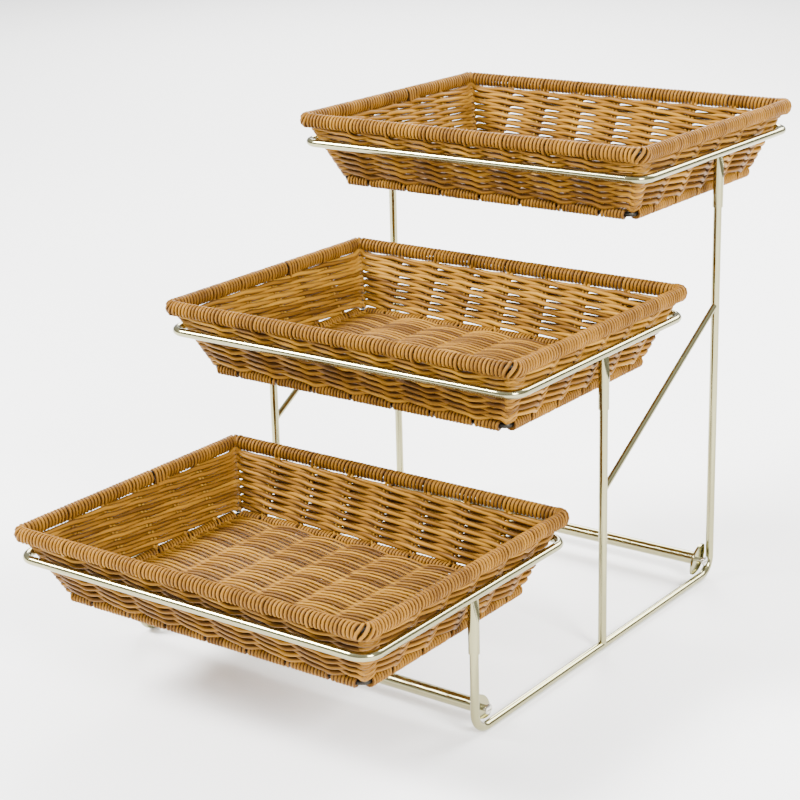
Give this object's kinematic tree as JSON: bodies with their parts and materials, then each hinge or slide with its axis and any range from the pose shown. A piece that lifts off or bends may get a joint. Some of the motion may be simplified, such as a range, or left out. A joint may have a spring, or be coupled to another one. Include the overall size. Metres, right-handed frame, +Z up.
{
  "type": "tiered bread display basket",
  "caption": "Stepped display stand of bent polished rod whose lift-off hoops hold rectangular woven bread baskets with sloping walls and wrapped rims.",
  "frame": {"origin": "on the table, under the middle of the stand's box", "axes": "+X along the long side of the baskets, +Y from the low front tier to the high rear tier, +Z up"},
  "size_m": [0.4, 0.732, 0.4655],
  "materials": {
    "polished_rod": "bright polished nickel plate, slightly warm",
    "screw_steel": "bright plated screw",
    "bare_steel": "plain turned steel",
    "frame_wire": "plain drawn steel wire",
    "woven_strand": "golden brown round strand with a low gloss"
  },
  "bodies": {
    "stand": {"left_side_rail": "polished_rod", "right_side_rail": "polished_rod", "left_middle_upright": "polished_rod", "right_middle_upright": "polished_rod", "left_brace": "polished_rod", "right_brace": "polished_rod", "left_front_gusset": "polished_rod", "left_rear_gusset": "polished_rod", "right_front_gusset": "polished_rod", "right_rear_gusset": "polished_rod", "front_cross_tube": "polished_rod", "rear_cross_tube": "polished_rod", "cross_tube_screws": "screw_steel", "cross_tube_inserts": "bare_steel"},
    "lower_ring": {"lower_hoop": "polished_rod", "lower_left_socket": "polished_rod", "lower_right_socket": "polished_rod"},
    "lower_basket": {"lower_basket_rim_wire": "frame_wire", "lower_basket_foot_wire": "frame_wire", "lower_basket_corner_posts": "frame_wire", "lower_basket_wall_stakes": "woven_strand", "lower_basket_floor_stakes": "woven_strand", "lower_basket_foot_wrap": "woven_strand", "lower_basket_rim_wrap": "woven_strand", "lower_basket_wall_weave": "woven_strand", "lower_basket_floor_weave": "woven_strand"},
    "middle_ring": {"middle_hoop": "polished_rod", "middle_left_socket": "polished_rod", "middle_right_socket": "polished_rod"},
    "middle_basket": {"middle_basket_rim_wire": "frame_wire", "middle_basket_foot_wire": "frame_wire", "middle_basket_corner_posts": "frame_wire", "middle_basket_wall_stakes": "woven_strand", "middle_basket_floor_stakes": "woven_strand", "middle_basket_foot_wrap": "woven_strand", "middle_basket_rim_wrap": "woven_strand", "middle_basket_wall_weave": "woven_strand", "middle_basket_floor_weave": "woven_strand"},
    "upper_ring": {"upper_hoop": "polished_rod", "upper_left_socket": "polished_rod", "upper_right_socket": "polished_rod"},
    "upper_basket": {"upper_basket_rim_wire": "frame_wire", "upper_basket_foot_wire": "frame_wire", "upper_basket_corner_posts": "frame_wire", "upper_basket_wall_stakes": "woven_strand", "upper_basket_floor_stakes": "woven_strand", "upper_basket_foot_wrap": "woven_strand", "upper_basket_rim_wrap": "woven_strand", "upper_basket_wall_weave": "woven_strand", "upper_basket_floor_weave": "woven_strand"}
  },
  "joints": [
    {"name": "lower_ring_lift", "type": "slide", "parent": "stand", "child": "lower_ring", "axis": [0, 0, 1], "range_m": [0, 0.0175]},
    {"name": "lower_basket_lift", "type": "slide", "parent": "lower_ring", "child": "lower_basket", "axis": [0, 0, 1], "range_m": [0, 0.0508]},
    {"name": "middle_ring_lift", "type": "slide", "parent": "stand", "child": "middle_ring", "axis": [0, 0, 1], "range_m": [0, 0.0175]},
    {"name": "middle_basket_lift", "type": "slide", "parent": "middle_ring", "child": "middle_basket", "axis": [0, 0, 1], "range_m": [0, 0.0508]},
    {"name": "upper_ring_lift", "type": "slide", "parent": "stand", "child": "upper_ring", "axis": [0, 0, 1], "range_m": [0, 0.0175]},
    {"name": "upper_basket_lift", "type": "slide", "parent": "upper_ring", "child": "upper_basket", "axis": [0, 0, 1], "range_m": [0, 0.0508]}
  ]
}
